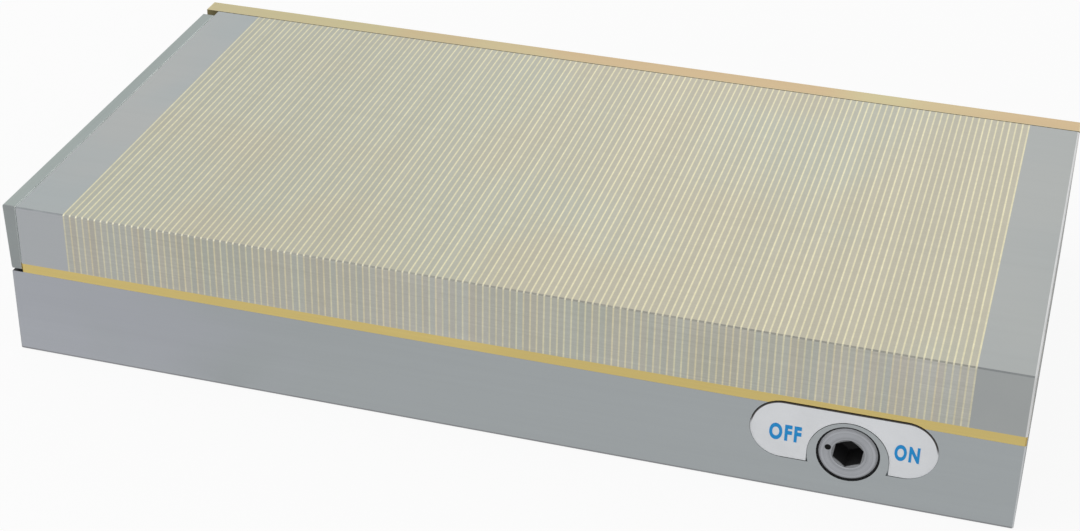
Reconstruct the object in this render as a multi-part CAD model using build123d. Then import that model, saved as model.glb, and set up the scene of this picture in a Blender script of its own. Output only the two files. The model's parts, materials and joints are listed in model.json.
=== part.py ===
from build123d import *
import os
from math import asin, cos, degrees, pi, radians, tan

# Fine-pole permanent magnetic chuck, switched OFF, in millimetres.
# The origin lies in the middle of the underside, X runs to the right, Y to the back and Z up.

# Pole plate
POLE_LENGTH = 300.0
POLE_DEPTH = 150.0
POLE_HEIGHT = 19.5
LAMELLA_WIDTH = 1.5
BRASS_WIDTH = 0.5
END_BLOCK_MIN = 15.5
EDGE_BREAK = 0.4

# Brass separator plate and the soft-iron bars in its windows
SEPARATOR_HEIGHT = 3.0
POLE_BAR_WIDTH = 8.0

# Base and its pocket
BASE_HEIGHT = 28.0
POCKET_FLOOR = 8.0
POCKET_CORNER = 6.0
FRONT_WALL = 20.0
BACK_WALL = 15.0
END_WALL = 22.0

# Rubber cord round the pocket
SEAL_WIDTH = 2.0
SEAL_HEIGHT = 1.8
SEAL_INSET = 3.0

# Clamp slots in the two end faces
CLAMP_LENGTH = 80.0
CLAMP_HEIGHT = 9.0
CLAMP_DEPTH = 8.0
CLAMP_LEVEL = 13.0

# Screws and dowels that hold the pole plate
POLE_SCREW = 6.0
POLE_SCREW_GRIP = 10.5
POLE_SCREW_HEAD = 10.0
POLE_SCREW_HEAD_HEIGHT = 6.0
POLE_SCREW_KEY = 5.0
POLE_SCREW_SINK = 6.5
POLE_SCREW_EDGE = 20.0
DOWEL = 5.0
DOWEL_LENGTH = 16.0
DOWEL_IN_BASE = 8.0
DOWEL_EDGE = 30.0

# Depth of every screw head's socket, as a share of the head's height
SOCKET_SHARE = 0.6

# Height-set stops and their low-head screws
STOP_TRAVEL = 6.0
STOP_GAP = 1.0
END_STOP_WIDTH = 4.2
END_STOP_FOOT = 3.5
END_STOP_WEB = 1.5
END_STOP_NOTCH = 4.0
END_STOP_EDGE = 35.0
END_SCREW = 4.0
END_SCREW_GRIP = 9.0
END_SCREW_HEAD = 8.0
END_SCREW_HEAD_HEIGHT = 1.5
END_SCREW_KEY = 2.5
BACK_RAIL_WIDTH = 7.0
RAIL_SCREW = 5.0
RAIL_SCREW_GRIP = 10.0
RAIL_SCREW_HEAD = 8.5
RAIL_SCREW_HEAD_HEIGHT = 3.5
RAIL_SCREW_KEY = 3.0
HEAD_SINK = 0.2
HEAD_SIDE_GAP = 0.3
SLOT_SIDE_GAP = 0.25

# Switch shaft, seen from the front
SWITCH_FROM_RIGHT = 47.4
SWITCH_DROP = 2.8
SHAFT_JOURNAL = 14.0
SHAFT_SHOULDER = 1.3
SHAFT_HEAD_LENGTH = 7.9
HEX_SIZE = 8.0
HEX_DEPTH = 9.0
HEX_MOUTH_EDGE = 0.18
HEX_MOUTH_SLOPE = 60.0
HEX_TURN = 23.0
INDEX_DIAMETER = 1.7
INDEX_DEPTH = 0.8
INDEX_GAP = 0.25
INDEX_ANGLE = 167.0
SWITCH_ANGLE = 180.0
RING_WIDTH = 0.7
RING_LENGTH = 2.5
RING_SINK = 0.4

# Stop screw in the shaft's part-turn groove
STOP_SCREW = 4.0
STOP_SCREW_SINK = 0.4
STOP_SCREW_KEY = 2.0
STOP_SCREW_KEY_DEPTH = 2.0
STOP_DOG = 2.2
STOP_DOG_GAP = 0.2
STOP_GROOVE_DEPTH = 2.3
STOP_LAND = 1.0

# Eccentric pin and roller
PIN_DIAMETER = 6.0
ROLLER_WALL = 1.2

# Sliding magnet pack
FLUX_BAR_WIDTH = 6.0
MAGNET_WIDTH = 6.0
PACK_RAIL_WIDTH = 9.0
PACK_END_GAP = 1.0
PACK_SIDE_GAP = 0.3
RUNNER_LIFT = 1.0
RUNNER_GAP = 0.1
AIR_GAP = 0.4

# Label with its notch, and its recess, which leaves a slit above the label
LABEL_LENGTH = 52.7
LABEL_HEIGHT = 18.3
LABEL_THICKNESS = 0.9
LABEL_SHIFT = -1.7
LABEL_LAP = 0.75
LABEL_LAND = 2.6
LABEL_GAP = 0.1
LABEL_SLIT = 0.4
NOTCH_DROP = 1.4
RECESS_DEPTH = 1.1

# Clearances
HOLE_GAP = 0.3
THREAD_GAP = 0.02
RUN_GAP = 0.03
PRESS_GAP = 0.01
BLIND_GAP = 1.5

# Overall box
overall_length = POLE_LENGTH + END_STOP_WIDTH
overall_depth = POLE_DEPTH + BACK_RAIL_WIDTH
left = -overall_length / 2
right = overall_length / 2
front = -overall_depth / 2
back = overall_depth / 2
pole_left = left + END_STOP_WIDTH
base_left = pole_left - END_STOP_FOOT
pole_back = back - BACK_RAIL_WIDTH
pole_x = (pole_left + right) / 2
pole_y = (front + pole_back) / 2
separator_top = BASE_HEIGHT + SEPARATOR_HEIGHT
face_top = separator_top + POLE_HEIGHT

# Laminated stack between the end blocks
lamella_pitch = LAMELLA_WIDTH + BRASS_WIDTH
lamella_count = int((POLE_LENGTH - 2 * END_BLOCK_MIN - BRASS_WIDTH) / lamella_pitch)
stack_length = lamella_count * lamella_pitch + BRASS_WIDTH
end_block_length = (POLE_LENGTH - stack_length) / 2
stack_left = pole_left + end_block_length
block_places = (pole_left + end_block_length / 2, right - end_block_length / 2)

# Pocket
pocket_length = POLE_LENGTH - 2 * END_WALL
pocket_front = front + FRONT_WALL
pocket_back = pole_back - BACK_WALL
pocket_depth = pocket_back - pocket_front
pocket_y = (pocket_front + pocket_back) / 2

# Magnet pack, standing half its travel to the left of the middle
main_pitch = FLUX_BAR_WIDTH + MAGNET_WIDTH
pack_travel = main_pitch / 2
throw = pack_travel / 2
bar_count = int((pocket_length - 2 * PACK_END_GAP - pack_travel + MAGNET_WIDTH) / main_pitch)
pack_length = bar_count * main_pitch - MAGNET_WIDTH
pack_x = pole_x - pack_travel / 2
rail_front = pocket_front + PACK_SIDE_GAP
rail_back = pocket_back - PACK_SIDE_GAP
bar_front = rail_front + PACK_RAIL_WIDTH
bar_back = rail_back - PACK_RAIL_WIDTH
bar_places = [(i - (bar_count - 1) / 2) * main_pitch for i in range(bar_count)]
bar_bottom = POCKET_FLOOR + RUNNER_LIFT
bar_top = BASE_HEIGHT - AIR_GAP

# Stops, and the screws and dowels of the end blocks
stop_bottom = BASE_HEIGHT + STOP_GAP
stop_screw_z = (stop_bottom + face_top + STOP_TRAVEL) / 2
end_stop_back = pole_back - END_STOP_NOTCH
end_screw_places = (front + END_STOP_EDGE, pole_back - END_STOP_EDGE)
pole_screw_places = (front + POLE_SCREW_EDGE, pole_back - POLE_SCREW_EDGE)
pole_screw_tip = separator_top + POLE_SCREW_GRIP
dowel_places = tuple(zip(block_places, (front + DOWEL_EDGE, pole_back - DOWEL_EDGE)))

# Switch, set below the middle of the pocket's height
switch_x = right - SWITCH_FROM_RIGHT
switch_level = (BASE_HEIGHT + POCKET_FLOOR) / 2 - SWITCH_DROP
shaft_head = SHAFT_JOURNAL + 2 * SHAFT_SHOULDER
shaft_bore = shaft_head + 2 * RING_WIDTH
head_back = front + SHAFT_HEAD_LENGTH
hex_mouth = HEX_SIZE / cos(pi / 6) + 2 * HEX_MOUTH_EDGE
index_radius = hex_mouth / 2 + INDEX_GAP + INDEX_DIAMETER / 2
stop_groove_width = STOP_DOG + 2 * STOP_DOG_GAP
stop_groove_y = head_back - STOP_LAND - stop_groove_width / 2
stop_groove_floor = shaft_head / 2 - STOP_GROOVE_DEPTH
stop_groove_spare = degrees(asin((STOP_DOG / 2 + STOP_DOG_GAP) / stop_groove_floor))
label_rise = BASE_HEIGHT + LABEL_LAP - LABEL_HEIGHT / 2 - switch_level
label_notch = shaft_bore / 2 + LABEL_LAND
pin_x = switch_x - throw
roller_diameter = PIN_DIAMETER + 2 * ROLLER_WALL

# An even slide lags behind the eccentric pin by at most this much
lag_angle = asin(2 / pi)
pin_lag = throw * (2 * lag_angle / pi + cos(lag_angle) - 1)
drive_slot_width = roller_diameter + 2 * (pin_lag + RUNNER_GAP)
drive_slot_top = switch_level + throw + roller_diameter / 2 + HOLE_GAP


def front_plane(x, y, z):
    """Plane seen from the front, X to the right and Z up, facing the viewer."""
    return Plane(origin=(x, y, z), x_dir=(1, 0, 0), z_dir=(0, -1, 0))


def back_plane(x, y, z):
    """Plane seen from behind, Z up, facing backwards."""
    return Plane(origin=(x, y, z), x_dir=(-1, 0, 0), z_dir=(0, 1, 0))


def left_plane(x, y, z):
    """Plane seen from the left end, Z up, facing outwards."""
    return Plane(origin=(x, y, z), x_dir=(0, -1, 0), z_dir=(-1, 0, 0))


def right_plane(x, y, z):
    """Plane seen from the right end, Z up, facing outwards."""
    return Plane(origin=(x, y, z), x_dir=(0, 1, 0), z_dir=(1, 0, 0))


def slab(x0, x1, y0, y1, z0, z1):
    """Rectangular block between two corners."""
    outline = Plane((x0, y0, z0)) * Rectangle(x1 - x0, y1 - y0, align=Align.MIN)
    return extrude(outline, z1 - z0)


def hole(plane, diameter, depth):
    """Round hole sunk from a plane, square to it."""
    return extrude(plane * Circle(diameter / 2), -depth)


def cap_screw(diameter, length, head, head_height, key):
    """Cap screw along Z, head above the origin, shank below."""
    half = [
        (0, -length),
        (diameter / 2, -length),
        (diameter / 2, 0),
        (head / 2, 0),
        (head / 2, head_height - EDGE_BREAK),
        (head / 2 - EDGE_BREAK, head_height),
        (0, head_height),
    ]
    body = revolve(Plane.XZ * make_face(Polyline(*half, close=True)), Axis.Z)
    socket = Plane((0, 0, head_height)) * RegularPolygon(key / 2, 6, major_radius=False)
    return body - extrude(socket, -SOCKET_SHARE * head_height)


def pole_profile():
    """Cross-section of the pole plate, with its front and back top edges broken."""
    corners = [
        (front, separator_top),
        (front, face_top - EDGE_BREAK),
        (front + EDGE_BREAK, face_top),
        (pole_back - EDGE_BREAK, face_top),
        (pole_back, face_top - EDGE_BREAK),
        (pole_back, separator_top),
    ]
    return make_face(Polyline(*corners, close=True))


def pole_slice(x, width):
    """Slice of the pole plate that starts at x."""
    return extrude(right_plane(x, 0, 0) * pole_profile(), width)


def label_recess():
    """Space cut away for the label in base and separator, round a full-height island about the shaft."""
    space = SlotOverall(LABEL_LENGTH + 2 * LABEL_GAP, LABEL_HEIGHT + LABEL_SLIT + 2 * LABEL_GAP)
    island = Pos(0, -NOTCH_DROP) * Circle(label_notch - LABEL_GAP)
    outline = Pos(LABEL_SHIFT, label_rise + LABEL_SLIT / 2) * space - island
    return extrude(front_plane(switch_x, front, switch_level) * outline, -RECESS_DEPTH)


def clamp_slot(plane):
    """Round-ended slot sunk into an end face."""
    return extrude(plane * SlotOverall(CLAMP_LENGTH, CLAMP_HEIGHT), -CLAMP_DEPTH)


def dowel_holes():
    """Holes for both dowels, as long as the dowels and a little more."""
    bottom = BASE_HEIGHT - DOWEL_IN_BASE - HOLE_GAP
    length = DOWEL_LENGTH + 2 * HOLE_GAP
    return [hole(Plane((x, y, bottom)), DOWEL + 2 * PRESS_GAP, -length) for x, y in dowel_places]


def pole_screw_holes(diameter, bottom, depth):
    """Holes in line with the pole plate screws, upwards from a level."""
    return [
        hole(Plane((x, y, bottom)), diameter, -depth)
        for x in block_places
        for y in pole_screw_places
    ]


def seal_ring(growth):
    """Rubber cord's path round the pocket, widened by growth on both sides."""
    inset = SEAL_INSET - growth
    width = SEAL_WIDTH + 2 * growth
    inner = (pocket_length + 2 * inset, pocket_depth + 2 * inset, POCKET_CORNER + inset)
    outer = [value + 2 * width for value in inner[:2]] + [inner[2] + width]
    return RectangleRounded(*outer) - RectangleRounded(*inner)


def base_body():
    """Base block with pocket, bores, recess and slots."""
    block = slab(base_left, right, front, back, 0, BASE_HEIGHT)
    uprights = block.edges().filter_by(Axis.Z)
    rims = block.edges().group_by(Axis.Z)[0]
    ledges = block.faces().sort_by(Axis.Z)[-1].edges()
    ledges = [ledges.sort_by(Axis.X)[0], ledges.sort_by(Axis.Y)[-1]]
    block = chamfer(list(uprights) + list(rims) + ledges, EDGE_BREAK)
    pocket = Plane((pole_x, pocket_y, POCKET_FLOOR)) * RectangleRounded(
        pocket_length, pocket_depth, POCKET_CORNER
    )
    groove = Plane((pole_x, pocket_y, BASE_HEIGHT)) * seal_ring(HOLE_GAP)
    cuts = [
        extrude(pocket, BASE_HEIGHT - POCKET_FLOOR),
        extrude(groove, -SEAL_HEIGHT),
        label_recess(),
        hole(front_plane(switch_x, front, switch_level), shaft_bore, FRONT_WALL),
        hole(Plane((switch_x, stop_groove_y, 0)), STOP_SCREW + 2 * THREAD_GAP, -switch_level),
        clamp_slot(left_plane(base_left, 0, CLAMP_LEVEL)),
        clamp_slot(right_plane(right, 0, CLAMP_LEVEL)),
    ]
    cuts += pole_screw_holes(POLE_SCREW_HEAD + 2 * HOLE_GAP, 0, POLE_SCREW_SINK)
    cuts += pole_screw_holes(POLE_SCREW + 2 * HOLE_GAP, 0, BASE_HEIGHT)
    return block - cuts - dowel_holes()


def rim_seal():
    """Square rubber cord in the groove round the pocket."""
    path = Plane((pole_x, pocket_y, BASE_HEIGHT - SEAL_HEIGHT)) * seal_ring(0)
    return extrude(path, SEAL_HEIGHT)


def pole_bar(x):
    """Soft-iron bar in the separator plate at x."""
    half = POLE_BAR_WIDTH / 2
    return slab(x - half, x + half, bar_front, bar_back, BASE_HEIGHT, separator_top)


def main_pole_bars():
    """Soft-iron bars, each above the gap between two flux bars while the chuck is off."""
    return [pole_bar(pack_x + pack_travel + x) for x in bar_places]


def separator_plate():
    """Brass plate with a window for every soft-iron bar."""
    plate = slab(pole_left, right, front, pole_back, BASE_HEIGHT, separator_top)
    plate = chamfer(plate.edges().filter_by(Axis.Z), EDGE_BREAK)
    holes = pole_screw_holes(POLE_SCREW + 2 * HOLE_GAP, BASE_HEIGHT, SEPARATOR_HEIGHT)
    return plate - main_pole_bars() - holes - dowel_holes() - label_recess()


def end_block(x, outer):
    """Solid block at one end of the lamellae, tapped for the screws; outer is the side's sign."""
    block = pole_slice(x, end_block_length)
    end_face = block.faces().sort_by(Axis.X)[0 if outer < 0 else -1]
    block = chamfer([edge for edge in end_face.edges() if edge.center().Z > separator_top], EDGE_BREAK)
    tapped = POLE_SCREW + 2 * THREAD_GAP
    cuts = pole_screw_holes(tapped, separator_top, POLE_SCREW_GRIP + BLIND_GAP) + dowel_holes()
    middle = x + end_block_length / 2
    rail_hole = back_plane(middle, pole_back, stop_screw_z)
    cuts.append(hole(rail_hole, RAIL_SCREW + 2 * THREAD_GAP, RAIL_SCREW_GRIP + BLIND_GAP))
    return block - cuts


def end_block_left():
    """Left end block, also tapped for the end stop's screws."""
    diameter = END_SCREW + 2 * THREAD_GAP
    tapped = [
        hole(left_plane(pole_left, y, stop_screw_z), diameter, END_SCREW_GRIP + BLIND_GAP)
        for y in end_screw_places
    ]
    return end_block(pole_left, -1) - tapped


def end_block_right():
    """Right end block."""
    return end_block(right - end_block_length, 1)


def pole_lamellae():
    """Steel sheets of the pole plate."""
    return [
        pole_slice(stack_left + BRASS_WIDTH + i * lamella_pitch, LAMELLA_WIDTH)
        for i in range(lamella_count)
    ]


def brass_strips():
    """Brass sheets on both sides of every lamella."""
    return [pole_slice(stack_left + i * lamella_pitch, BRASS_WIDTH) for i in range(lamella_count + 1)]


def pole_plate_screws():
    """Cap screws from the underside into the end blocks."""
    length = pole_screw_tip - POLE_SCREW_SINK
    screw = cap_screw(POLE_SCREW, length, POLE_SCREW_HEAD, POLE_SCREW_HEAD_HEIGHT, POLE_SCREW_KEY)
    return [
        Pos(x, y, POLE_SCREW_SINK) * Rot(180, 0, 0) * screw
        for x in block_places
        for y in pole_screw_places
    ]


def locating_dowels():
    """Dowels that stand in base, separator and end block."""
    dowel = chamfer(Cylinder(DOWEL / 2, DOWEL_LENGTH).edges().filter_by(GeomType.CIRCLE), EDGE_BREAK)
    middle = BASE_HEIGHT - DOWEL_IN_BASE + DOWEL_LENGTH / 2
    return [Pos(x, y, middle) * dowel for x, y in dowel_places]


def stop_slots(plane, screw, head, sink, width):
    """Upright slot through a stop's width, with a sunk seat for the head, the stop at its lowest place."""
    low = Pos(0, -STOP_TRAVEL / 2)
    slot_width = screw + 2 * SLOT_SIDE_GAP
    seat_width = head + 2 * HEAD_SIDE_GAP
    through = plane * low * SlotOverall(STOP_TRAVEL + slot_width, slot_width, rotation=90)
    seat = plane * low * SlotOverall(STOP_TRAVEL + seat_width, seat_width, rotation=90)
    return [extrude(through, -width), extrude(seat, -sink)]


def end_stop_plate():
    """Stop plate at the left end, tapering to its foot, with two slots."""
    section = [
        (pole_left, stop_bottom),
        (pole_left, face_top),
        (left, face_top),
        (base_left, stop_bottom),
    ]
    outline = front_plane(0, front, 0) * make_face(Polyline(*section, close=True))
    plate = extrude(outline, front - end_stop_back)
    outer_face = plate.faces().sort_by(Axis.X)[0]
    plate = chamfer(outer_face.edges(), EDGE_BREAK)
    sink = END_STOP_WIDTH - END_STOP_WEB
    for y in end_screw_places:
        plane = left_plane(left, y, stop_screw_z)
        plate -= stop_slots(plane, END_SCREW, END_SCREW_HEAD, sink, END_STOP_WIDTH)
    return plate


def end_stop_screws():
    """Low-head screws of the end stop."""
    length = END_STOP_WEB + END_SCREW_GRIP
    screw = cap_screw(END_SCREW, length, END_SCREW_HEAD, END_SCREW_HEAD_HEIGHT, END_SCREW_KEY)
    seat = pole_left - END_STOP_WEB
    return [left_plane(seat, y, stop_screw_z) * screw for y in end_screw_places]


def back_rail():
    """Brass rail along the back, with a slot at each end block."""
    rail = slab(left, right, pole_back, back, stop_bottom, face_top)
    back_face = rail.faces().sort_by(Axis.Y)[-1]
    rail = chamfer(back_face.edges(), EDGE_BREAK)
    sink = RAIL_SCREW_HEAD_HEIGHT + HEAD_SINK
    for x in block_places:
        plane = back_plane(x, back, stop_screw_z)
        rail -= stop_slots(plane, RAIL_SCREW, RAIL_SCREW_HEAD, sink, BACK_RAIL_WIDTH)
    return rail


def back_rail_screws():
    """Low-head screws of the back rail."""
    seat = RAIL_SCREW_HEAD_HEIGHT + HEAD_SINK
    length = BACK_RAIL_WIDTH - seat + RAIL_SCREW_GRIP
    screw = cap_screw(RAIL_SCREW, length, RAIL_SCREW_HEAD, RAIL_SCREW_HEAD_HEIGHT, RAIL_SCREW_KEY)
    return [back_plane(x, back - seat, stop_screw_z) * screw for x in block_places]


def tube(outer, inner, y0, y1, x):
    """Ring round an axis that runs from front to back at the switch's level."""
    ring = Circle(outer / 2) - Circle(inner / 2)
    return extrude(front_plane(x, y0, switch_level) * ring, y0 - y1)


def shaft_bush():
    """Bronze bush behind the shaft's head."""
    bush_front = head_back + RUNNER_GAP
    return tube(shaft_bore - 2 * PRESS_GAP, SHAFT_JOURNAL + 2 * RUN_GAP, bush_front, pocket_front, switch_x)


def shaft_seal():
    """Rubber ring in the gap round the shaft's head."""
    start = front + RING_SINK
    return tube(shaft_bore - 2 * PRESS_GAP, shaft_head + 2 * RUN_GAP, start, start + RING_LENGTH, switch_x)


def stop_groove():
    """Part-turn groove in the shaft's head, open to the dog point over the whole switch angle."""
    section = Pos(stop_groove_floor, stop_groove_y) * Rectangle(
        shaft_head, stop_groove_width, align=(Align.MIN, Align.CENTER)
    )
    arc = SWITCH_ANGLE + 2 * stop_groove_spare
    start = SWITCH_ANGLE - 90 + stop_groove_spare
    groove = Rot(0, -start, 0) * revolve(section, Axis.Y, arc)
    return Pos(switch_x, 0, switch_level) * groove


def switch_shaft():
    """Shaft with head, journal, eccentric pin, hex socket, index dimple and part-turn groove."""
    half = [
        (0, front + hex_mouth / 2 / tan(radians(HEX_MOUTH_SLOPE))),
        (hex_mouth / 2, front),
        (shaft_head / 2 - EDGE_BREAK, front),
        (shaft_head / 2, front + EDGE_BREAK),
        (shaft_head / 2, head_back),
        (SHAFT_JOURNAL / 2, head_back),
        (SHAFT_JOURNAL / 2, pocket_front),
        (0, pocket_front),
    ]
    shaft = revolve(make_face(Polyline(*half, close=True)), Axis.Y)
    shaft = Pos(switch_x, 0, switch_level) * shaft
    pin_plane = front_plane(pin_x, pocket_front, switch_level)
    shaft += extrude(pin_plane * Circle(PIN_DIAMETER / 2), -PACK_RAIL_WIDTH)
    face = front_plane(switch_x, front, switch_level)
    socket = RegularPolygon(HEX_SIZE / 2, 6, major_radius=False, rotation=HEX_TURN)
    index = Rot(0, 0, INDEX_ANGLE) * Pos(index_radius, 0) * Circle(INDEX_DIAMETER / 2)
    cuts = [
        extrude(face * socket, -HEX_DEPTH),
        extrude(face * index, -INDEX_DEPTH),
    ]
    return shaft - cuts - stop_groove()


def shaft_stop_screw():
    """Dog-point screw from the underside, its point standing in the shaft's groove."""
    thread_top = switch_level - shaft_bore / 2 - HOLE_GAP
    point = switch_level - stop_groove_floor - HOLE_GAP
    screw = extrude(Plane((0, 0, STOP_SCREW_SINK)) * Circle(STOP_SCREW / 2), thread_top - STOP_SCREW_SINK)
    screw += extrude(Plane((0, 0, thread_top)) * Circle(STOP_DOG / 2), point - thread_top)
    socket = Plane((0, 0, STOP_SCREW_SINK)) * RegularPolygon(STOP_SCREW_KEY / 2, 6, major_radius=False)
    screw -= extrude(socket, STOP_SCREW_KEY_DEPTH)
    return Pos(switch_x, stop_groove_y, 0) * screw


def eccentric_roller():
    """Roller on the eccentric pin."""
    start = pocket_front + PACK_SIDE_GAP
    end = pocket_front + PACK_RAIL_WIDTH
    return tube(roller_diameter, PIN_DIAMETER + 2 * RUN_GAP, start, end, pin_x)


def pack_rail(y0, y1, outer):
    """Runner of the magnet pack, its outer corners rounded like the pocket's."""
    half = pack_length / 2
    rail = slab(pack_x - half, pack_x + half, y0, y1, POCKET_FLOOR + RUNNER_GAP, BASE_HEIGHT - RUNNER_GAP)
    outer_edges = rail.edges().filter_by(Axis.Z).group_by(Axis.Y)[outer]
    return fillet(outer_edges, POCKET_CORNER)


def pack_front_rail():
    """Front runner with the upright slot for the roller, open below."""
    rail = pack_rail(rail_front, bar_front, 0)
    half = drive_slot_width / 2
    slot = slab(pin_x - half, pin_x + half, rail_front, bar_front, POCKET_FLOOR, drive_slot_top)
    return rail - slot


def pack_rear_rail():
    """Back runner."""
    return pack_rail(bar_back, rail_back, -1)


def pack_bars(places, width):
    """Upright bars between the two runners, one at each place along the pack."""
    half = width / 2
    middles = [pack_x + x for x in places]
    return [slab(x - half, x + half, bar_front, bar_back, bar_bottom, bar_top) for x in middles]


def flux_bars():
    """Steel bars of the magnet pack."""
    return pack_bars(bar_places, FLUX_BAR_WIDTH)


def magnets():
    """Magnets between the flux bars."""
    return pack_bars([x + main_pitch / 2 for x in bar_places[:-1]], MAGNET_WIDTH)


def switch_label():
    """White round-ended label plate in its recess, with a U-shaped notch round the shaft."""
    plate = Pos(LABEL_SHIFT, label_rise) * SlotOverall(LABEL_LENGTH, LABEL_HEIGHT)
    notch = Rectangle(2 * label_notch, LABEL_HEIGHT, align=(Align.CENTER, Align.MAX)) + Circle(label_notch)
    plane = front_plane(switch_x, front + RECESS_DEPTH, switch_level)
    return extrude(plane * (plate - Pos(0, -NOTCH_DROP) * notch), LABEL_THICKNESS)


BUILDERS = (
    base_body,
    rim_seal,
    separator_plate,
    main_pole_bars,
    end_block_left,
    end_block_right,
    pole_lamellae,
    brass_strips,
    pole_plate_screws,
    locating_dowels,
    end_stop_plate,
    end_stop_screws,
    back_rail,
    back_rail_screws,
    shaft_bush,
    shaft_seal,
    shaft_stop_screw,
    switch_shaft,
    eccentric_roller,
    pack_front_rail,
    pack_rear_rail,
    flux_bars,
    magnets,
    switch_label,
)

os.makedirs("parts", exist_ok=True)
for builder in BUILDERS:
    shape = builder()
    if isinstance(shape, list):
        shape = Compound(children=shape)
    export_step(shape, f"parts/{builder.__name__}.step")
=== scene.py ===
import json
import logging
import math
from dataclasses import dataclass, field
from enum import Enum
from functools import cached_property, reduce
from typing import Any, Callable, ClassVar

import bmesh
import bpy
from mathutils import Euler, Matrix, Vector


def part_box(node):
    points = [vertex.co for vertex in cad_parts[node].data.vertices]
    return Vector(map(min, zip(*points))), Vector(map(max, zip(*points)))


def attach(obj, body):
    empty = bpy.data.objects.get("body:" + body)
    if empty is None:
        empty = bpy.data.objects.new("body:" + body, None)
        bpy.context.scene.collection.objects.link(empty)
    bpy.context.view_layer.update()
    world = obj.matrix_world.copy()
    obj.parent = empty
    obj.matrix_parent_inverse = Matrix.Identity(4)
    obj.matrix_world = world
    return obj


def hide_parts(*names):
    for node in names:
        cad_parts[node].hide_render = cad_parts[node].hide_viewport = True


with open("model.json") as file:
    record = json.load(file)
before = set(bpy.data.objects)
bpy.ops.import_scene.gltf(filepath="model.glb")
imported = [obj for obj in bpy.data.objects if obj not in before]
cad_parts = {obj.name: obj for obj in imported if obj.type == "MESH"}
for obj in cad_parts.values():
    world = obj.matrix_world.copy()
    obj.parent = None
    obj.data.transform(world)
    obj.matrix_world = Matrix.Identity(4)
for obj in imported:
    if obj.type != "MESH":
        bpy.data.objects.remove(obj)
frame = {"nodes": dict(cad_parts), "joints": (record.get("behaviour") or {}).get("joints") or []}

# Looks of a fine-pole magnetic chuck: a finish for every piece, the switch's lettering,
# rounded screws and seal, and a plain white studio. Metres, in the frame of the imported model.

MM = 0.001
# Points closer together than this count as one.
TINY = 0.001 * MM
# Points nearer to a face than this count as on it.
SKIN = 0.02 * MM
LOG = logging.getLogger("chuck")

Colour = tuple[float, float, float]
Box = tuple[Vector, Vector]

WHITE: Colour = (1.0, 1.0, 1.0)


class Axis(Enum):
    """Direction along which tool marks run."""

    X = 0
    Y = 1
    Z = 2


class Rim(Enum):
    """Outer faces of a piece and edges where two meet, as pairs of axis and end (0 low, 1 high)."""

    TOP = ((2, 1),)
    FOOT = ((2, 0),)
    FRONT = ((1, 0),)
    BACK = ((1, 1),)
    RIGHT = ((0, 1),)
    FRONT_TOP = ((1, 0), (2, 1))
    FRONT_FOOT = ((1, 0), (2, 0))
    BACK_TOP = ((1, 1), (2, 1))
    BACK_FOOT = ((1, 1), (2, 0))
    LEFT_TOP = ((0, 0), (2, 1))
    LEFT_FOOT = ((0, 0), (2, 0))
    LEFT_FRONT = ((0, 0), (1, 0))
    LEFT_BACK = ((0, 0), (1, 1))
    RIGHT_TOP = ((0, 1), (2, 1))
    RIGHT_FOOT = ((0, 1), (2, 0))
    RIGHT_FRONT = ((0, 1), (1, 0))
    RIGHT_BACK = ((0, 1), (1, 1))


EDGES = tuple(rim for rim in Rim if len(rim.value) == 2)


class Blotch(Enum):
    """Range over which a random pattern goes from none to full, narrow for sharp blotches."""

    FAINT = (0.0, 1.0)
    SOFT = (0.3, 0.7)
    PLAIN = (0.35, 0.65)
    SHARP = (0.4, 0.6)


def operator(kind: str) -> Callable[["Field", "Field | float"], "Field"]:
    """Method of a field that joins it and another value by one Math node."""
    return lambda one, other: one.graph.math(kind, one, other)


class Field:
    """A shader socket that can stand in a Python expression."""

    __add__ = __radd__ = operator("ADD")
    __mul__ = __rmul__ = operator("MULTIPLY")
    __sub__ = operator("SUBTRACT")
    __truediv__ = operator("DIVIDE")
    lesser = operator("MINIMUM")
    greater = operator("MAXIMUM")

    def __init__(self, graph: "Graph", socket: bpy.types.NodeSocket) -> None:
        """Keeps the socket and the graph it belongs to."""
        self.graph = graph
        self.socket = socket

    def __rsub__(self, other: float) -> "Field":
        """Difference with a plain number in front."""
        return self.graph.math("SUBTRACT", other, self)

    def floor(self) -> "Field":
        """Whole number below the value."""
        return self.graph.math("FLOOR", self)

    def step(self, low: float, high: float) -> "Field":
        """Smooth step of the value.

        Args:
            low: value at which the step is 0.
            high: value at which the step is 1, above or below low.

        Returns:
            A value from 0 to 1.
        """
        settings = {"interpolation_type": "SMOOTHSTEP"}
        start, end = (low, high) if low < high else (high, low)
        inputs = {"Value": self, "From Min": start, "From Max": end}
        rise = self.graph.node("ShaderNodeMapRange", settings, inputs)
        return rise if low < high else 1 - rise

    def blotch(self, kind: Blotch) -> "Field":
        """Blotches of a random pattern, from 0 to 1."""
        return self.step(*kind.value)

    def swing(self, amount: float) -> "Field":
        """Swing of a random pattern about its middle of 0.5, times an amount."""
        return amount * (self - 0.5)


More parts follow.
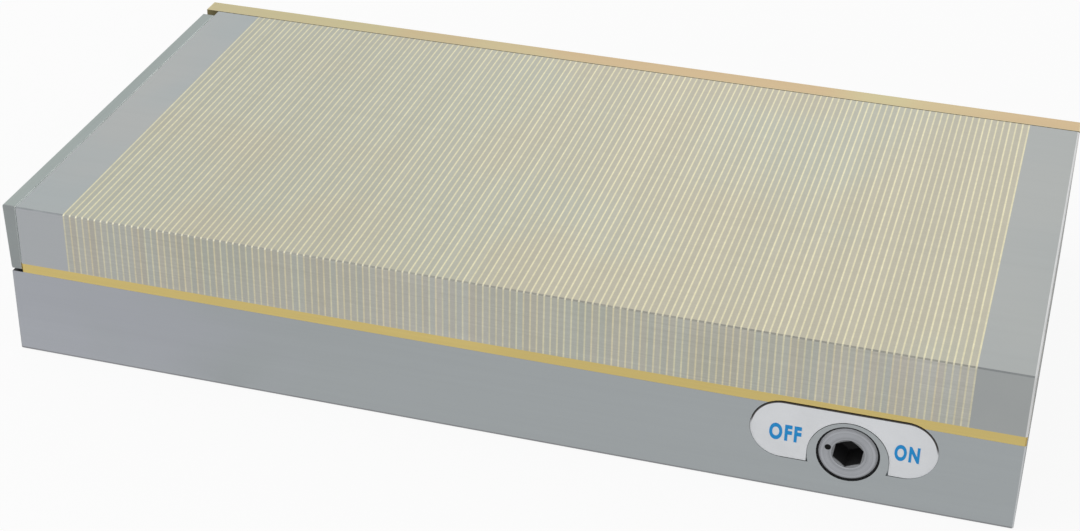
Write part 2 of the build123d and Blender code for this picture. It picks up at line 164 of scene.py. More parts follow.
class Graph:
    """Node tree of a material or world, built from expressions."""

    MIX_FACTOR, MIX_A, MIX_B, MIX_RESULT = 0, 6, 7, 2
    OBJECT_PLACE = 3
    SOFT_EDGE = 0.8
    DETAIL, MARK_DETAIL = 2.0, 3.0

    def __init__(self, tree: bpy.types.NodeTree, box: Box | None = None) -> None:
        """Keeps the tree, its surface shader and the box of the piece.

        Args:
            tree: the node tree that is filled.
            box: lowest and highest corner of the piece, where the tree is for a piece.
        """
        self.tree = tree
        self.box = box
        self.shader = tree.nodes.get("Principled BSDF")

    def node(self, kind: str, settings: dict[str, Any], inputs: dict[Any, Any], output: int = 0) -> Field:
        """Adds any node.

        Args:
            kind: the node's type.
            settings: its properties, set before its sockets.
            inputs: values or fields for its sockets, by name or number.
            output: number of the socket that is returned.

        Returns:
            The chosen output as a field.
        """
        made = self.tree.nodes.new(kind)
        for name, value in settings.items():
            setattr(made, name, value)
        for name, value in inputs.items():
            self.feed(made.inputs[name], value)
        return Field(self, made.outputs[output])

    def feed(self, socket: bpy.types.NodeSocket, value: Any) -> None:
        """Links a field to a socket, or sets a plain value on it.

        Args:
            socket: the socket that is fed.
            value: a field, a number, a vector or a colour.
        """
        if isinstance(value, Field):
            self.tree.links.new(value.socket, socket)
        elif socket.type == "RGBA":
            socket.default_value = (*value, 1.0)
        else:
            socket.default_value = value

    def surface(self, **values: Any) -> None:
        """Feeds sockets of the surface shader, with _ for a space in a name."""
        for name, value in values.items():
            self.feed(self.shader.inputs[name.replace("_", " ")], value)

    def math(self, operation: str, *values: Field | float) -> Field:
        """Result of one Math node."""
        return self.node("ShaderNodeMath", {"operation": operation}, dict(enumerate(values)))

    def product(self, first: Any, second: Any) -> Field:
        """Product of two vectors or colours, part by part."""
        return self.node("ShaderNodeVectorMath", {"operation": "MULTIPLY"}, {0: first, 1: second})

    def scaled(self, colour: Field | Colour, factor: Field) -> Field:
        """Colour made brighter or darker by a factor."""
        inputs = {"Vector": colour, "Scale": factor}
        return self.node("ShaderNodeVectorMath", {"operation": "SCALE"}, inputs)

    def mix(self, factor: Field | float, first: Any, second: Any) -> Field:
        """Colour between two colours.

        Args:
            factor: 0 for the first colour, 1 for the second.
            first: a colour or a field.
            second: a colour or a field.

        Returns:
            The mixed colour.
        """
        inputs = {self.MIX_FACTOR: factor, self.MIX_A: first, self.MIX_B: second}
        return self.node("ShaderNodeMix", {"data_type": "RGBA"}, inputs, self.MIX_RESULT)

    @cached_property
    def place(self) -> Field:
        """Position on the piece, in its own coordinates."""
        return self.node("ShaderNodeTexCoord", {}, {}, self.OBJECT_PLACE)

    @cached_property
    def parts(self) -> tuple[Field, Field, Field]:
        """Place on the piece along each of the three axes."""
        split = self.node("ShaderNodeSeparateXYZ", {}, {0: self.place}).socket.node
        return tuple(Field(self, output) for output in split.outputs)

    def diagonal(self, first: Field, second: Field) -> Field:
        """Root of the sum of two squares."""
        return self.math("SQRT", first * first + second * second)

    def radius(self, centre: Vector) -> Field:
        """Distance from the line that runs from front to back through a point."""
        along, _, height = self.parts
        return self.diagonal(along - centre.x, height - centre.z)

    def noise(self, size: float, detail: float = DETAIL, vector: Field | None = None) -> Field:
        """Soft random pattern.

        Args:
            size: width of its blotches in metres.
            detail: octaves of finer pattern.
            vector: position to read it at, else the place on the piece.

        Returns:
            A value about 0.5.
        """
        inputs = {"Vector": vector or self.place, "Scale": 1 / size, "Detail": detail}
        return self.node("ShaderNodeTexNoise", {}, inputs)

    def marks(self, axis: Axis, length: float, width: float) -> Field:
        """Long tool marks.

        Args:
            axis: direction that they run in.
            length: length of a mark in metres.
            width: distance between marks in metres.

        Returns:
            A value about 0.5.
        """
        stretch = [1 / width] * 3
        stretch[axis.value] = 1 / length
        stretched = self.product(self.place, tuple(stretch))
        return self.noise(1.0, self.MARK_DETAIL, stretched)

    def rings(self, radius: Field, width: float) -> Field:
        """Turned marks about an axis, a value about 0.5 that changes with the radius alone."""
        inputs = {"W": radius / width, "Scale": 1.0, "Detail": self.DETAIL}
        return self.node("ShaderNodeTexNoise", {"noise_dimensions": "1D"}, inputs)

    def random(self, number: Field) -> Field:
        """Random value from 0 to 1 for each whole number."""
        return self.node("ShaderNodeTexWhiteNoise", {"noise_dimensions": "1D"}, {"W": number})

    def rims(self, width: float, rims: tuple[Rim, ...]) -> Field:
        """Mask of some faces and edges of the piece.

        Args:
            width: how far the mask reaches from a face or edge.
            rims: the faces and edges that count.

        Returns:
            1 at them, 0 away from them.
        """
        low, high = self.box
        inside = {}
        for axis, part in enumerate(self.parts):
            inside[axis, 0] = part - low[axis]
            inside[axis, 1] = high[axis] - part
        reach = [reduce(Field.greater, (inside[face] for face in rim.value)) for rim in rims]
        return reduce(Field.lesser, reach).step(width, self.SOFT_EDGE * width)

    def bump(self, height: Field, depth: float) -> Field:
        """Normal of a rough surface, depth in metres."""
        inputs = {"Height": height, "Distance": depth, "Strength": 1.0}
        return self.node("ShaderNodeBump", {}, inputs)


@dataclass(frozen=True)
class Finish:
    """Look of a material, made anew for each piece that has it."""

    name: str
    colour: Colour
    roughness: float = 0.4
    metallic: float = 1.0

    def material(self, piece: str, box: Box) -> bpy.types.Material:
        """Builds the material for one piece.

        Args:
            piece: the piece's name.
            box: lowest and highest corner of the piece.

        Returns:
            The finished material.
        """
        material = bpy.data.materials.new(f"{self.name}_{piece}")
        material.use_nodes = True
        self.shade(Graph(material.node_tree, box))
        return material

    def shade(self, graph: Graph) -> None:
        """Feeds the surface shader; each finish has its own way.

        Args:
            graph: the material's node tree.
        """
        raise NotImplementedError


@dataclass(frozen=True)
class WearAndPaintedLight:
    """Strip of another colour along some faces and edges of a piece: real rubbed wear on some pieces,
    painted shade and painted highlights on others.
    """

    rims: tuple[Rim, ...]
    colour: Colour
    share: float = 0.8
    width: float = 0.45 * MM
    dull: float = 0.0


@dataclass(frozen=True)
class PaintedFaceLight(WearAndPaintedLight):
    """Painted shade and painted light that cover whole faces."""

    share: float = 1.0
    width: float = SKIN


@dataclass(frozen=True)
class GroundMetal(Finish):
    """Metal with long fine marks of grinding or milling, slow clouds of tone, worn edges, and strips of
    painted shade and painted highlight.

    With a drift, the clouds turn from the colour at the left end to the cast at the right end,
    half of them at a given share of the length.
    """

    cast: Colour = (0.35, 0.37, 0.38)
    wear_and_painted_light: tuple[WearAndPaintedLight, ...] = (WearAndPaintedLight(EDGES, (0.62, 0.63, 0.64), share=0.45),)
    drift: float = 0.0
    halfway: float = 0.5
    axis: Axis = Axis.X
    mark_length: float = 40 * MM
    mark_width: float = 0.35 * MM
    mark_roughness: float = 0.16
    contrast: float = 0.12
    band_lengths: float = 5.0
    band_widths: float = 9.0
    band_share: float = 0.6
    cloud_size: float = 60 * MM
    rub_size: float = 9 * MM
    rub_share: float = 0.2
    dull_roughness: float = 0.5
    bump_depth: float = 0.006 * MM

    def tone(self, graph: Graph) -> tuple[Field, Field]:
        """Colour and fine marks before edges are worn.

        Args:
            graph: the material's node tree.

        Returns:
            The colour, and the marks as a value about 0.5.
        """
        length, width = self.mark_length, self.mark_width
        marks = graph.marks(self.axis, length, width)
        bands = graph.marks(self.axis, self.band_lengths * length, self.band_widths * width)
        cloud = graph.noise(self.cloud_size)
        if self.drift:
            left, right = (corner.x for corner in graph.box)
            half = left + self.halfway * (right - left)
            cloud = cloud + self.drift / (right - left) * (graph.parts[0] - half)
        colour = graph.mix(cloud.blotch(Blotch.PLAIN), self.colour, self.cast)
        shade = 1 + marks.swing(self.contrast) + bands.swing(self.band_share * self.contrast)
        return graph.scaled(colour, shade), marks

    def worn(self, graph: Graph, colour: Field) -> tuple[Field, Field | float]:
        """Lays the wear and the painted light over a colour.

        Args:
            graph: the material's node tree.
            colour: the colour without wear and painted light.

        Returns:
            The colour with wear and painted light, and how dull they have made the metal, from 0 to 1.
        """
        rub = graph.noise(self.rub_size).blotch(Blotch.SOFT)
        rubbed = 1 - self.rub_share + self.rub_share * rub
        dull: Field | float = 0.0
        for wear_and_painted_light in self.wear_and_painted_light:
            mask = graph.rims(wear_and_painted_light.width, wear_and_painted_light.rims) * (wear_and_painted_light.share * rubbed)
            colour = graph.mix(mask, colour, wear_and_painted_light.colour)
            if wear_and_painted_light.dull:
                dull = wear_and_painted_light.dull * mask + dull
        return colour, dull

    def shade(self, graph: Graph) -> None:
        """Feeds colour, roughness and bump from the marks, the wear and the painted light.

        Args:
            graph: the material's node tree.
        """
        colour, marks = self.tone(graph)
        colour, dull = self.worn(graph, colour)
        graph.surface(
            Base_Color=colour,
            Roughness=self.roughness + marks.swing(self.mark_roughness) + self.dull_roughness * dull,
            Metallic=self.metallic * (1 - dull),
            Normal=graph.bump(marks, self.bump_depth),
        )


@dataclass(frozen=True)
class SheetMetal(GroundMetal):
    """Stacked sheets, each a little different, ground together on top and duller at the front, where they
    take a colour of their own: painted light and shade for how the front is lit.
    """

    SECOND_DRAW = 1000

    # Colour, level and contrast of the front faces: painted light and shade for how the front is lit; the
    # real duller finish is front_roughness.
    front_colour: Colour = (0.3, 0.3, 0.3)
    front_level: float = 0.9
    front_contrast: float = 0.3
    front_roughness: float = 0.08
    warm: Colour = (1.025, 0.99, 0.97)
    cool: Colour = (0.975, 1.0, 1.025)
    pitch: float = 2.0 * MM
    spread: float = 0.1
    speckle: float = 0.12
    speckle_size: float = 0.7 * MM
    top_depth: float = 0.5 * MM
    top_edge: float = 0.1 * MM

    def shade(self, graph: Graph) -> None:
        """Feeds a tone for each sheet, with painted light and shade on the front faces.

        Args:
            graph: the material's node tree.
        """
        colour, marks = self.tone(graph)
        along, _, height = graph.parts
        low, high = graph.box
        cloud = graph.noise(self.cloud_size).blotch(Blotch.FAINT)
        # The front faces take their own colour, level and contrast: painted light and shade.
        front = graph.mix(cloud, self.front_colour, self.colour)
        front_marks = graph.marks(Axis.X, self.mark_length, self.mark_width)
        side = graph.scaled(front, self.front_level + front_marks.swing(self.front_contrast))
        top = height.step(high.z - self.top_depth, high.z - self.top_edge)
        sheet = graph.random(((along - low.x) / self.pitch).floor())
        tint = graph.mix(graph.random((self.SECOND_DRAW * sheet).floor()), self.warm, self.cool)
        speckle = graph.noise(self.speckle_size)
        level = 1 + sheet.swing(self.spread) + speckle.swing(self.speckle)
        tone = graph.scaled(graph.mix(top, graph.product(side, tint), colour), level)
        rough = self.roughness + marks.swing(self.mark_roughness)
        graph.surface(
            Base_Color=self.worn(graph, tone)[0],
            Roughness=rough + self.front_roughness * (1 - top),
            Metallic=self.metallic,
            Normal=graph.bump(marks, self.bump_depth),
        )


@dataclass(frozen=True, kw_only=True)
class TurnedMetal(Finish):
    """Metal with turned rings about an axis that runs from front to back."""

    axis: Vector
    ring_width: float = 0.16 * MM
    ring_roughness: float = 0.25
    contrast: float = 0.5
    coarse_widths: float = 6.0
    coarse_share: float = 0.8
    cloud_size: float = 5 * MM
    cloud_contrast: float = 0.2
    bump_depth: float = 0.006 * MM

    def turned(self, graph: Graph, radius: Field) -> tuple[Field, Field]:
        """Tone and fine rings of the turned metal.

        Args:
            graph: the material's node tree.
            radius: distance from the axis.

        Returns:
            The tone as a factor about 1, and the rings as a value about 0.5.
        """
        fine = graph.rings(radius, self.ring_width)
        coarse = graph.rings(radius, self.coarse_widths * self.ring_width)
        cloud = graph.noise(self.cloud_size)
        rings = fine.swing(self.contrast) + coarse.swing(self.coarse_share * self.contrast)
        return 1 + rings + cloud.swing(self.cloud_contrast), fine

    def shade(self, graph: Graph) -> None:
        """Feeds colour, roughness and bump from the rings.

        Args:
            graph: the material's node tree.
        """
        tone, rings = self.turned(graph, graph.radius(self.axis))
        graph.surface(
            Base_Color=graph.scaled(self.colour, tone),
            Roughness=self.roughness + rings.swing(self.ring_roughness),
            Metallic=self.metallic,
            Normal=graph.bump(rings, self.bump_depth),
        )


@dataclass(frozen=True, kw_only=True)
class ShaftMetal(TurnedMetal):
    """Turned shaft whose head has dull chamfers, painted shade in its socket and on the socket's mouth,
    and dirt round its index dimple.
    """

    dimple: Vector
    rim_radius: float
    socket_radius: float
    socket_depth: float = 0.45 * MM
    # Near black inside the socket: painted shade.
    socket_shade_colour: Colour = (0.012, 0.012, 0.013)
    dirt_radius: float = 0.98 * MM
    mouth_start: float = 0.02 * MM
    # Share of the colour kept on the socket's mouth: painted shade.
    mouth_share: float = 0.6
    chamfer_dull: float = 0.8
    chamfer_roughness: float = 0.2
    fade: float = 0.05 * MM

    def shade(self, graph: Graph) -> None:
        """Feeds the rings, and the look of the head over them.

        Args:
            graph: the material's node tree.
        """
        radius = graph.radius(self.axis)
        tone, rings = self.turned(graph, radius)
        depth = graph.parts[1] - graph.box[0].y
        rim = radius.step(self.rim_radius - self.fade, self.rim_radius)
        within = radius.step(self.socket_radius, self.socket_radius - self.fade)
        mouth = within * depth.step(self.mouth_start, self.fade)
        # Painted shade: the socket's inside turns near black.
        inside = within * depth.step(self.socket_depth, 2 * self.socket_depth)
        chamfer = rim.greater(mouth)
        from_dimple = graph.radius(self.axis + self.dimple)
        shade_and_dirt = inside.greater(from_dimple.step(self.dirt_radius, self.dirt_radius - 2 * self.fade))
        # Painted shade on the socket's mouth.
        colour = graph.scaled(self.colour, tone * (1 - (1 - self.mouth_share) * mouth))
        rough = self.roughness + rings.swing(self.ring_roughness)
        graph.surface(
            Base_Color=graph.mix(shade_and_dirt, colour, self.socket_shade_colour),
            Roughness=rough + self.chamfer_roughness * chamfer,
            Metallic=self.metallic * (1 - shade_and_dirt.greater(self.chamfer_dull * chamfer)),
            Normal=graph.bump(rings, self.bump_depth),
        )


@dataclass(frozen=True)
class GrainyCoat(Finish):
    """Paint, rubber, oxide or sintered skin: fine grain, faint blotches and rubbed edges."""

    rubbed_colour: Colour = (0.1, 0.1, 0.1)
    grain_size: float = 0.3 * MM
    grain_share: float = 0.5
    grain_roughness: float = 0.1
    cloud_grains: float = 25.0
    cloud_detail: float = 4.0
    cloud_roughness: float = 0.2
    contrast: float = 0.15
    rub: float = 0.0
    edge_width: float = 0.4 * MM
    bump_depth: float = 0.01 * MM
    gloss: float = 0.5

    def shade(self, graph: Graph) -> None:
        """Feeds grain, blotches and rubbed edges.

        Args:
            graph: the material's node tree.
        """
        grain = graph.noise(self.grain_size)
        cloud = graph.noise(self.cloud_grains * self.grain_size, self.cloud_detail)
        tone = 1 + cloud.swing(self.contrast) + grain.swing(self.grain_share * self.contrast)
        colour = graph.scaled(self.colour, tone)
        edges = graph.rims(self.edge_width, EDGES)
        worn = edges * self.rub * cloud.blotch(Blotch.SHARP)
        rough = self.roughness + cloud.swing(self.cloud_roughness)
        graph.surface(
            Base_Color=graph.mix(worn, colour, self.rubbed_colour),
            Roughness=rough + grain.swing(self.grain_roughness),
            Metallic=self.metallic,
            Specular_IOR_Level=self.gloss,
            Normal=graph.bump(grain, self.bump_depth),
        )


@dataclass(frozen=True)
class PlatePaint(Finish):
    """Satin paint on a plate with round ends, with painted shadow along its upper edge and on its sides.
    """

    shadow_colour: Colour = (0.02, 0.016, 0.012)
    shadow_width: float = 0.5 * MM
    shadow_fade: float = 0.15 * MM
    upper_share: float = 0.3
    paint_depth: float = 0.03 * MM
    faded: float = 0.95
    cloud_size: float = 12 * MM
    cloud_detail: float = 4.0
    cloud_roughness: float = 0.2
    speck_size: float = 0.5 * MM
    speck_contrast: float = 0.04
    bump_depth: float = 0.004 * MM

    def shade(self, graph: Graph) -> None:
        """Feeds paint in front and painted shadow round it.

        Args:
            graph: the material's node tree.
        """
        low, high = graph.box
        end = (high.z - low.z) / 2
        along, depth, height = graph.parts
        past_end = (low.x + end - along).greater(along - (high.x - end)).greater(0.0)
        up = height - (low.z + end)
        shadow_start = end - self.shadow_width
        # Painted shadow along the upper edge and on the sides of the plate.
        rim = graph.diagonal(past_end, up).step(shadow_start, shadow_start + self.shadow_fade)
        upper = rim * up.step(0.0, self.upper_share * end)
        side = depth.step(low.y + self.paint_depth, low.y + 2 * self.paint_depth)
        cloud = graph.noise(self.cloud_size, self.cloud_detail)
        speck = graph.noise(self.speck_size)
        faded = tuple(self.faded * part for part in self.colour)
        clouded = graph.mix(cloud.blotch(Blotch.SOFT), self.colour, faded)
        paint = graph.scaled(clouded, 1 + speck.swing(self.speck_contrast))
        graph.surface(
            Base_Color=graph.mix(side.greater(upper), paint, self.shadow_colour),
            Roughness=self.roughness + cloud.swing(self.cloud_roughness),
            Metallic=self.metallic,
            Normal=graph.bump(speck, self.bump_depth),
        )


def joint_place(name: str) -> Vector:
    """Place of a joint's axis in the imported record."""
    found = [joint for joint in frame["joints"] if joint["name"] == name]
    return Vector(found[0]["pos_m"])


def round_axis(angle: float, reach: float) -> Vector:
    """Offset at an angle in degrees and a reach from an axis that runs from front to back."""
    turn = math.radians(angle)
    return Vector((math.cos(turn), 0, math.sin(turn))) * reach


SWITCH_AXIS = joint_place("switch_turn")
ROLLER_AXIS = joint_place("roller_spin")
INDEX_DIMPLE = round_axis(167.0, 5.9 * MM)

# Painted shade on faces that lie against another piece: near black, for the shadow in the gap between
# them.
GAP_SHADE: Colour = (0.015, 0.015, 0.016)

BASE_STEEL = GroundMetal(
    "ground_steel", (0.378, 0.393, 0.425), roughness=0.42, cast=(0.35, 0.374, 0.384),
    # Lighter and bluer at the left end, the darker cast further right: painted light and shade.
    drift=1.1, halfway=0.17, contrast=0.09,
    wear_and_painted_light=(
        # Darker strip along the left front edge.
        WearAndPaintedLight((Rim.LEFT_FRONT,), (0.25, 0.26, 0.27)),
        # Painted shadow: a dark strip along the foot of the front face, where the contact shadow falls.
        WearAndPaintedLight((Rim.FRONT_FOOT,), (0.2, 0.2, 0.21), width=0.9 * MM),
        # Painted highlight: a light strip down the right front edge.
        WearAndPaintedLight((Rim.RIGHT_FRONT,), (0.6, 0.61, 0.62)),
        # The right end face is made matt, and its darker colour is painted shade.
        PaintedFaceLight((Rim.RIGHT,), (0.25, 0.256, 0.262), dull=0.5),
        # Painted shadow on the whole top face, darkening the gaps where other pieces rest on it.
        PaintedFaceLight((Rim.TOP,), GAP_SHADE),
    ),
)
LEFT_BLOCK_STEEL = GroundMetal(
    "block_steel", (0.38, 0.415, 0.42), cast=(0.415, 0.43, 0.425), contrast=0.08,
    wear_and_painted_light=(
        # The front face gets a tone of its own: painted light for how the front is lit.
        PaintedFaceLight((Rim.FRONT,), (0.402, 0.416, 0.434), width=0.3 * MM),
        # Painted light on the left edges, which face the dark groove beside the end stop.
        WearAndPaintedLight((Rim.LEFT_TOP, Rim.LEFT_FRONT), (0.8, 0.82, 0.82)),
        # Painted shade: a dark line along the front top edge.
        WearAndPaintedLight((Rim.FRONT_TOP,), (0.13, 0.14, 0.145)),
    ),
)
# Same steel as the left block; its darker colour and cast are painted shade.
RIGHT_BLOCK_STEEL = GroundMetal(
    "block_steel", (0.36, 0.378, 0.374), cast=(0.372, 0.386, 0.378), contrast=0.08,
    wear_and_painted_light=(
        # Painted shade: the front face is darker than the top.
        PaintedFaceLight((Rim.FRONT,), (0.335, 0.35, 0.35), width=0.3 * MM),
        # Painted shade: a dark line along the front top edge.
        WearAndPaintedLight((Rim.FRONT_TOP,), (0.16, 0.17, 0.175)),
        # Painted highlight: a light band along the right top and right front edges.
        WearAndPaintedLight((Rim.RIGHT_TOP, Rim.RIGHT_FRONT), (0.66, 0.66, 0.66), share=1.0, width=0.65 * MM),
        # The right end face is made matt, and its darker colour is painted shade.
        PaintedFaceLight((Rim.RIGHT,), (0.25, 0.256, 0.262), dull=0.5),
    ),
)
STOP_STEEL = GroundMetal(
    "stop_steel", (0.36, 0.405, 0.39), roughness=0.45, cast=(0.335, 0.378, 0.367),
    contrast=0.2, axis=Axis.Y,
    wear_and_painted_light=(
        # Painted shade on the front and back end faces.
        PaintedFaceLight((Rim.FRONT, Rim.BACK), (0.278, 0.297, 0.301), width=0.5 * MM),
        # Lighter strip along the left top edge.
        WearAndPaintedLight((Rim.LEFT_TOP,), (0.75, 0.8, 0.78)),
        # Painted light: the inner face beside the left end block is near white, to lighten the groove
        # between them.
        PaintedFaceLight((Rim.RIGHT,), (0.9, 0.92, 0.91)),
        # Painted shadow under the foot, in the slot above the base's ledge.
        PaintedFaceLight((Rim.FOOT,), GAP_SHADE),
    ),
)
LAMELLA_STEEL = SheetMetal(
    "lamella_steel", (0.445, 0.45, 0.38), roughness=0.42, cast=(0.465, 0.44, 0.353), drift=0.25,
    # front_colour: painted light and shade of the front faces.
    front_colour=(0.52, 0.51, 0.485), spread=0.06,
    # Painted shade: a dark strip along the front top edge.
    wear_and_painted_light=(WearAndPaintedLight((Rim.FRONT_TOP,), (0.23, 0.23, 0.21), share=0.85),),
)
STRIP_BRASS = SheetMetal(
    "strip_brass", (0.66, 0.625, 0.435), roughness=0.38, cast=(0.66, 0.618, 0.428), drift=0.25,
    # front_colour: painted light and shade of the front faces.
    front_colour=(0.61, 0.58, 0.468), contrast=0.2, speckle=0.25, speckle_size=1.5 * MM,
    # Painted shade: a darker strip along the front top edge.
    wear_and_painted_light=(WearAndPaintedLight((Rim.FRONT_TOP,), (0.56, 0.535, 0.41), share=0.9),),
)
PLATE_BRASS = GroundMetal(
    "plate_brass", (0.615, 0.485, 0.185), roughness=0.38, cast=(0.572, 0.45, 0.17),
    drift=0.2, contrast=0.16, mark_width=0.25 * MM,
    # Painted shade: dark brown strips at the front ends of the plate.
    wear_and_painted_light=(WearAndPaintedLight((Rim.RIGHT_FRONT, Rim.LEFT_FRONT), (0.4, 0.27, 0.08)),),
)
RAIL_BRASS = GroundMetal(
    "rail_brass", (0.545, 0.48, 0.27), cast=(0.56, 0.42, 0.24), drift=0.3, contrast=0.14,
    wear_and_painted_light=(
        WearAndPaintedLight(EDGES, (0.68, 0.6, 0.38), share=0.5),
        # Painted shadow: the front face is dark, for the shadow in the gap in front of the rail.
        PaintedFaceLight((Rim.FRONT,), (0.12, 0.098, 0.035), dull=0.4),
    ),
)
SHAFT_STEEL = ShaftMetal(
    "shaft_steel", (0.325, 0.335, 0.355), axis=SWITCH_AXIS, contrast=0.75,
    dimple=INDEX_DIMPLE, rim_radius=7.9 * MM, socket_radius=4.72 * MM,
)
ROLLER_STEEL = TurnedMetal("roller_steel", (0.36, 0.36, 0.37), roughness=0.3, axis=ROLLER_AXIS)
BUSH_BRONZE = TurnedMetal("bush_bronze", (0.5, 0.33, 0.15), axis=SWITCH_AXIS)
DOWEL_STEEL = GroundMetal(
    "dowel_steel", (0.4, 0.4, 0.41), roughness=0.3, axis=Axis.Z,
    mark_length=6 * MM, mark_width=0.1 * MM,
)
SCREW_OXIDE = GrainyCoat(
    "screw_oxide", (0.035, 0.035, 0.038), roughness=0.42, metallic=0.7,
    rubbed_colour=(0.2, 0.2, 0.2), rub=0.6,
)
SOFT_IRON = GroundMetal("soft_iron", (0.3, 0.3, 0.31), roughness=0.5, axis=Axis.Y)
MAGNET_SKIN = GrainyCoat(
    "magnet_skin", (0.06, 0.06, 0.066), roughness=0.55, metallic=0.6,
    rubbed_colour=(0.2, 0.2, 0.21), rub=0.4,
)
RAIL_ALLOY = GroundMetal("rail_alloy", (0.62, 0.62, 0.63), roughness=0.35, cast=(0.56, 0.56, 0.57))
SEAL_RUBBER = GrainyCoat(
    "seal_rubber", (0.008, 0.008, 0.009), roughness=0.6, metallic=0.0, grain_size=0.2 * MM, gloss=0.2,
)
DOT_PAINT = GrainyCoat(
    "dot_paint", (0.004, 0.004, 0.004), roughness=0.6, metallic=0.0, grain_size=0.1 * MM, gloss=0.1,
)
LABEL_PAINT = PlatePaint("label_paint", (0.72, 0.735, 0.76), roughness=0.38, metallic=0.0)
LETTER_PAINT = GrainyCoat(
    "letter_paint", (0.005, 0.25, 0.6), roughness=0.45, metallic=0.0,
    grain_size=0.25 * MM, contrast=0.1, gloss=0.3,
)


class Assembly:
    """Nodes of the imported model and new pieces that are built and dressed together."""

    LOOKS: ClassVar[dict[str, Finish]]

    def build(self) -> None:
        """Models new pieces; where there are none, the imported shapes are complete."""

    def dress(self) -> None:
        """Gives each node its finish."""
        for node, finish in self.LOOKS.items():
            material = finish.material(node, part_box(node))
            for slot in frame["nodes"][node].material_slots:
                slot.material = material
            LOG.info("dressed %s with %s", node, finish.name)


class Modeller:
    """A mesh grown from loops about the Z axis with edit-mode operators."""

    TIP = 0.01

    def __init__(self, name: str) -> None:
        """Clears the selection and remembers the name.

        Args:
            name: the name of the piece that is made.
        """
        self.name = name
        self.piece: bpy.types.Object | None = None
        self.radius = 0.0
        self.level = 0.0
        bpy.ops.object.select_all(action="DESELECT")

    def loop(self, sides: int, radius: float, level: float, cuts: int = 0) -> None:
        """Adds a selected loop of points.

        Args:
            sides: straight sides of the loop.
            radius: distance of its corners from the axis.
            level: height of the loop.
            cuts: points added on each side.
        """
        if self.piece:
            bpy.ops.mesh.select_all(action="DESELECT")
        bpy.ops.mesh.primitive_circle_add(vertices=sides, radius=radius, location=(0, 0, level))
        if not self.piece:
            self.piece = bpy.context.object
            self.piece.name = self.name
            bpy.ops.object.transform_apply(location=True)
            bpy.ops.object.mode_set(mode="EDIT")
            bpy.ops.mesh.select_all(action="SELECT")
        if cuts:
            bpy.ops.mesh.subdivide(number_cuts=cuts)
        self.radius, self.level = radius, level

    def follow(self, *profile: tuple[float, float]) -> None:
        """Extrudes the selected loop along a profile.

        Args:
            profile: radius and level of each new loop.
        """
        for radius, level in profile:
            scale = radius / self.radius
            move = {"value": (0, 0, level - self.level)}
            bpy.ops.mesh.extrude_region_move(TRANSFORM_OT_translate=move)
            bpy.ops.transform.resize(value=(scale, scale, 1), center_override=(0, 0, 0))
            self.radius, self.level = radius, level

    def pick(self, wanted: Callable[[Vector], bool]) -> None:
        """Selects points, and the edges between them.

        Args:
            wanted: test of a point's place that accepts it.
        """
        bpy.ops.mesh.select_mode(type="VERT")
        mesh = bmesh.from_edit_mesh(self.piece.data)
        for point in mesh.verts:
            point.select = wanted(point.co)
        mesh.select_flush_mode()
        bmesh.update_edit_mesh(self.piece.data)

    def pick_level(self, level: float) -> None:
        """Selects all points at a level."""
        self.pick(lambda point: abs(point.z - level) < TINY)

    def join_loops(self, radius: float, level: float) -> None:
        """Bridges the two loops at a level and leaves the one of a given radius selected.

        Args:
            radius: radius of the outer, round loop.
            level: height of both loops.
        """
        self.pick_level(level)
        bpy.ops.mesh.bridge_edge_loops()
        self.pick(lambda point: abs(point.z - level) < TINY and abs(point.xy.length - radius) < TINY)
        self.radius, self.level = radius, level

    def cap(self, sink: float = 0.0) -> None:
        """Closes the selected loop.

        Args:
            sink: depth of a cone that closes it, 0 for a flat face.
        """
        if sink:
            self.follow((self.TIP * self.radius, self.level - sink))
        bpy.ops.mesh.edge_face_add()

    def done(self, smooth_angle: float = 35.0) -> bpy.types.Object:
        """Merges doubles, turns faces outwards and leaves edit mode.

        Args:
            smooth_angle: largest angle in degrees that is shaded smooth.

        Returns:
            The finished piece.
        """
        bpy.ops.mesh.select_all(action="SELECT")
        bpy.ops.mesh.remove_doubles(threshold=TINY)
        bpy.ops.mesh.normals_make_consistent(inside=False)
        bpy.ops.object.mode_set(mode="OBJECT")
        bpy.ops.object.shade_smooth_by_angle(angle=math.radians(smooth_angle))
        return self.piece


def settle(piece: bpy.types.Object, place: Vector, turn: Euler) -> None:
    """Turns and moves a piece, and puts its place into its mesh.

    Args:
        piece: the piece, made at the origin.
        place: where its origin goes.
        turn: how it is turned first.
    """
    bpy.ops.object.select_all(action="DESELECT")
    piece.select_set(True)
    bpy.context.view_layer.objects.active = piece
    piece.rotation_euler = turn
    piece.location = place
    bpy.ops.object.transform_apply(location=True, rotation=True, scale=True)


def mesh_box(piece: bpy.types.Object) -> Box:
    """Lowest and highest corner of a piece, in its own coordinates."""
    corners = [Vector(corner) for corner in piece.bound_box]
    return Vector(map(min, *corners)), Vector(map(max, *corners))


def paint(piece: bpy.types.Object, finish: Finish) -> None:
    """Gives a new piece its finish.

    Args:
        piece: the piece, in its place.
        finish: the look that it gets.
    """
    piece.data.materials.clear()
    piece.data.materials.append(finish.material(piece.name, mesh_box(piece)))
    LOG.info("made %s with %s", piece.name, finish.name)


def copied(piece: bpy.types.Object, name: str) -> bpy.types.Object:
    """Copy of a piece, with a mesh of its own.

    Args:
        piece: the piece that is copied.
        name: name of the copy.

    Returns:
        The copy, at the origin.
    """
    copy = piece.copy()
    copy.data = piece.data.copy()
    copy.name = copy.data.name = name
    bpy.context.scene.collection.objects.link(copy)
    return copy


class Facing(Enum):
    """Way that the top of a piece looks, as the turn in degrees from straight up."""

    FRONT = (90, 0, 0)
    BACK = (-90, 0, 0)
    LEFT = (0, -90, 0)
    DOWN = (180, 0, 0)

    def turn(self) -> Euler:
        """The turn as angles in radians."""
        return Euler([math.radians(angle) for angle in self.value])


